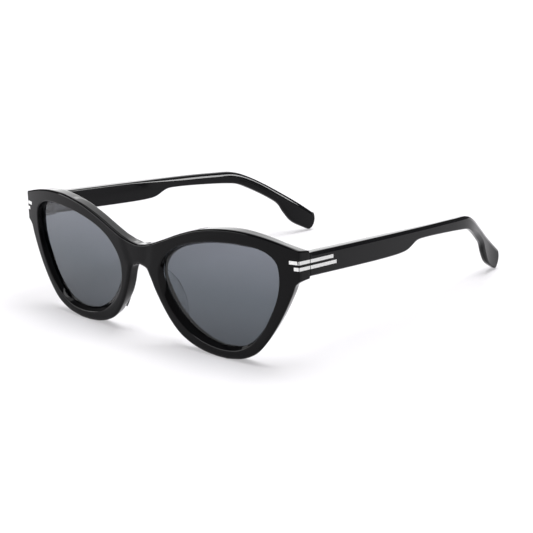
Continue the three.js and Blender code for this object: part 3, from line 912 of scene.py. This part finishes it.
def noise(tree, scale, detail=3.0):
    place = tree.nodes.new("ShaderNodeTexCoord")
    node = tree.nodes.new("ShaderNodeTexNoise")
    node.inputs["Scale"].default_value = scale
    node.inputs["Detail"].default_value = detail
    tree.links.new(place.outputs["Object"], node.inputs["Vector"])
    return node.outputs["Fac"]


def spread(tree, value, low, high):
    node = tree.nodes.new("ShaderNodeMapRange")
    node.inputs["To Min"].default_value = low
    node.inputs["To Max"].default_value = high
    tree.links.new(value, node.inputs["Value"])
    return node.outputs["Result"]


def bump(tree, bsdf, value, strength, distance):
    node = tree.nodes.new("ShaderNodeBump")
    node.inputs["Strength"].default_value = strength
    node.inputs["Distance"].default_value = distance
    tree.links.new(value, node.inputs["Height"])
    tree.links.new(node.outputs["Normal"], bsdf.inputs["Normal"])


def acetate():
    material, tree, bsdf = shader("black_acetate")
    bsdf.inputs["Base Color"].default_value = (0.003, 0.003, 0.0035, 1)
    bsdf.inputs["IOR"].default_value = 1.22
    tree.links.new(spread(tree, noise(tree, scale=350), low=0.03, high=0.08), bsdf.inputs["Roughness"])
    bump(tree, bsdf, noise(tree, scale=90, detail=2), strength=0.02, distance=0.0003)
    return material


# The lens's own grey tint, made darker towards the bottom and lighter towards the top: painted shade
# for the floor's shadow seen through the lower part of the lens.
LENS_TINT_AND_PAINTED_SHADE = {
    "low": (0.053, 0.061, 0.070, 1),
    "middle": (0.094, 0.109, 0.126, 1),
    "high": (0.172, 0.186, 0.214, 1),
}
TINT_AND_SHADE_Z = (0.005, 0.044)    # heights in metres of the low and high ends of the tint with its painted shade


def tinted_with_painted_shade():
    material, tree, bsdf = shader("grey_lens")
    place = tree.nodes.new("ShaderNodeTexCoord")
    split = tree.nodes.new("ShaderNodeSeparateXYZ")
    height = tree.nodes.new("ShaderNodeMapRange")
    height.inputs["From Min"].default_value = TINT_AND_SHADE_Z[0]
    height.inputs["From Max"].default_value = TINT_AND_SHADE_Z[1]
    # this colour ramp paints shade into the glass: dark low on the lens, light high up
    tint_and_painted_shade = tree.nodes.new("ShaderNodeValToRGB")
    tint_and_painted_shade.color_ramp.elements[0].color = LENS_TINT_AND_PAINTED_SHADE["low"]
    tint_and_painted_shade.color_ramp.elements[1].color = LENS_TINT_AND_PAINTED_SHADE["high"]
    tint_and_painted_shade.color_ramp.elements.new(0.5).color = LENS_TINT_AND_PAINTED_SHADE["middle"]
    tree.links.new(place.outputs["Object"], split.inputs["Vector"])
    tree.links.new(split.outputs["Z"], height.inputs["Value"])
    tree.links.new(height.outputs["Result"], tint_and_painted_shade.inputs["Fac"])
    tree.links.new(tint_and_painted_shade.outputs["Color"], bsdf.inputs["Base Color"])
    bsdf.inputs["Transmission Weight"].default_value = 1.0
    bsdf.inputs["Roughness"].default_value = 0.0
    bsdf.inputs["IOR"].default_value = 1.4
    return material


def crystal():
    material, tree, bsdf = shader("clear_pad")
    bsdf.inputs["Base Color"].default_value = (0.86, 0.87, 0.88, 1)
    bsdf.inputs["Transmission Weight"].default_value = 1.0
    bsdf.inputs["IOR"].default_value = 1.46
    tree.links.new(spread(tree, noise(tree, scale=500), low=0.02, high=0.05), bsdf.inputs["Roughness"])
    return material


def enamel():
    material, tree, bsdf = shader("white_inlay")
    bsdf.inputs["Base Color"].default_value = (0.97, 0.97, 0.96, 1)
    tree.links.new(spread(tree, noise(tree, scale=900), low=0.2, high=0.32), bsdf.inputs["Roughness"])
    return material


def nickel():
    material, tree, bsdf = shader("hinge_metal")
    bsdf.inputs["Base Color"].default_value = (0.2, 0.2, 0.205, 1)
    bsdf.inputs["Metallic"].default_value = 1.0
    tree.links.new(spread(tree, noise(tree, scale=1200), low=0.22, high=0.4), bsdf.inputs["Roughness"])
    return material


# ---------- the studio ----------


CAMERA = {
    "azimuth": 41.647, "elevation": 16.069, "roll": -1.060, "distance": 632.0,
    "target": (3.782, 59.155, 19.718), "lens": 108.28, "shift": (-0.00668, -0.03019),
}
WORLD_LIGHT = 0.18
# azimuth, elevation (degrees), distance, width, height (metres), radiance, whether it casts shadows
SOFTBOXES = {
    "back": (44, 14, 3.0, 1.8, 1.6, 2.6, False),
    "back_high": (30, 38, 3.0, 2.2, 1.1, 2.4, False),
    "side_line": (-48, 19, 3.0, 0.7, 1.0, 34.0, False),
    "front_strip": (140, 10, 3.0, 2.7, 0.9, 6.0, False),
    "key": (-60, 82, 2.2, 1.5, 1.5, 4.4, True),
    "fill": (20, 84, 2.4, 2.0, 2.0, 2.3, False),
}


def make_camera():
    a, e, r = (math.radians(CAMERA[k]) for k in ("azimuth", "elevation", "roll"))
    back = Vector((math.sin(a) * math.cos(e), -math.cos(a) * math.cos(e), math.sin(e)))
    right = Vector((math.cos(a), math.sin(a), 0))
    up = back.cross(right)
    x = math.cos(r) * right + math.sin(r) * up
    y = -math.sin(r) * right + math.cos(r) * up
    target = Vector(CAMERA["target"]) + Vector((0, ORIGIN_Y, 0))
    data = bpy.data.cameras.new("camera")
    data.sensor_width = 36
    data.lens = CAMERA["lens"]
    data.shift_x, data.shift_y = CAMERA["shift"]
    data.clip_start = 0.05
    obj = bpy.data.objects.new("camera", data)
    place = (target + back * CAMERA["distance"]) * MM
    turn = Matrix((x, y, back)).transposed().to_4x4()
    obj.matrix_world = Matrix.Translation(place) @ turn
    bpy.context.scene.collection.objects.link(obj)
    bpy.context.scene.camera = obj


def make_floor():
    mesh = bpy.data.meshes.new("floor")
    size = 6.0    # half its width, in metres
    corners = [(-size, -size, 0), (size, -size, 0), (size, size, 0), (-size, size, 0)]
    mesh.from_pydata(corners, [], [(0, 1, 2, 3)])
    floor = bpy.data.objects.new("floor", mesh)
    bpy.context.scene.collection.objects.link(floor)
    material, _, bsdf = shader("studio_floor")
    bsdf.inputs["Base Color"].default_value = (0.80, 0.79, 0.81, 1)
    bsdf.inputs["Roughness"].default_value = 0.9
    bsdf.inputs["Specular IOR Level"].default_value = 0.0
    floor.data.materials.append(material)


def softbox(name, azimuth, elevation, distance, wide, high, radiance, shadow):
    """A rectangular light that faces the glasses. Azimuth runs from straight behind towards
    the wearer's right; sizes and distance are in metres."""
    a, e = math.radians(azimuth), math.radians(elevation)
    toward = Vector((-math.sin(a) * math.cos(e), math.cos(a) * math.cos(e), math.sin(e)))
    data = bpy.data.lights.new(name, "AREA")
    data.shape = "RECTANGLE"
    data.size = wide
    data.size_y = high
    data.energy = radiance * math.pi * wide * high
    data.use_shadow = shadow
    obj = bpy.data.objects.new(name, data)
    turn = toward.to_track_quat("Z", "Y").to_matrix().to_4x4()
    obj.matrix_world = Matrix.Translation(toward * distance) @ turn
    bpy.context.scene.collection.objects.link(obj)
    return obj


def group(name, start):
    """A collection of the objects whose names begin with start."""
    made = bpy.data.collections.new(name)
    for obj in bpy.data.objects:
        if obj.name.startswith(start):
            made.objects.link(obj)
    return made


def make_lights():
    world = bpy.data.worlds.new("studio")
    bpy.context.scene.world = world
    world.use_nodes = True
    background = world.node_tree.nodes["Background"]
    background.inputs["Color"].default_value = (1, 1, 1, 1)
    background.inputs["Strength"].default_value = WORLD_LIGHT
    lights = {name: softbox(name, *values) for name, values in SOFTBOXES.items()}
    lights["side_line"].light_linking.receiver_collection = group("temples", "acetate_temple")


# ---------- assembly ----------


def put(piece, body, node):
    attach(piece, body)
    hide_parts(node)


def main():
    looks = {
        "acetate": acetate(), "lens": tinted_with_painted_shade(), "clear": crystal(),
        "inlay": enamel(), "steel": nickel(),
    }
    put(make_front(looks["acetate"]), "front", "front_frame")
    for side in SIDES:
        arm = f"temple_{side}"
        put(make_lens(side, looks["lens"]), "front", f"lens_{side}")
        put(make_pad(side, looks["clear"]), "front", f"nose_pad_{side}")
        put(make_temple(side, looks["acetate"]), arm, arm)
        put(make_front_leaf(side, looks["steel"]), "front", f"hinge_front_leaf_{side}")
        put(make_temple_leaf(side, looks["steel"]), arm, f"hinge_temple_leaf_{side}")
        put(make_screw(side, looks["steel"]), "front", f"hinge_screw_{side}")
        for node, piece in make_stripes(side, looks["inlay"]).items():
            put(piece, arm if "temple" in node else "front", node)
        wire = frame["nodes"][f"core_wire_{side}"]
        wire.data.materials.clear()
        wire.data.materials.append(looks["steel"])
    make_floor()
    make_lights()
    make_camera()
    bpy.context.scene.view_settings.view_transform = "Standard"


main()
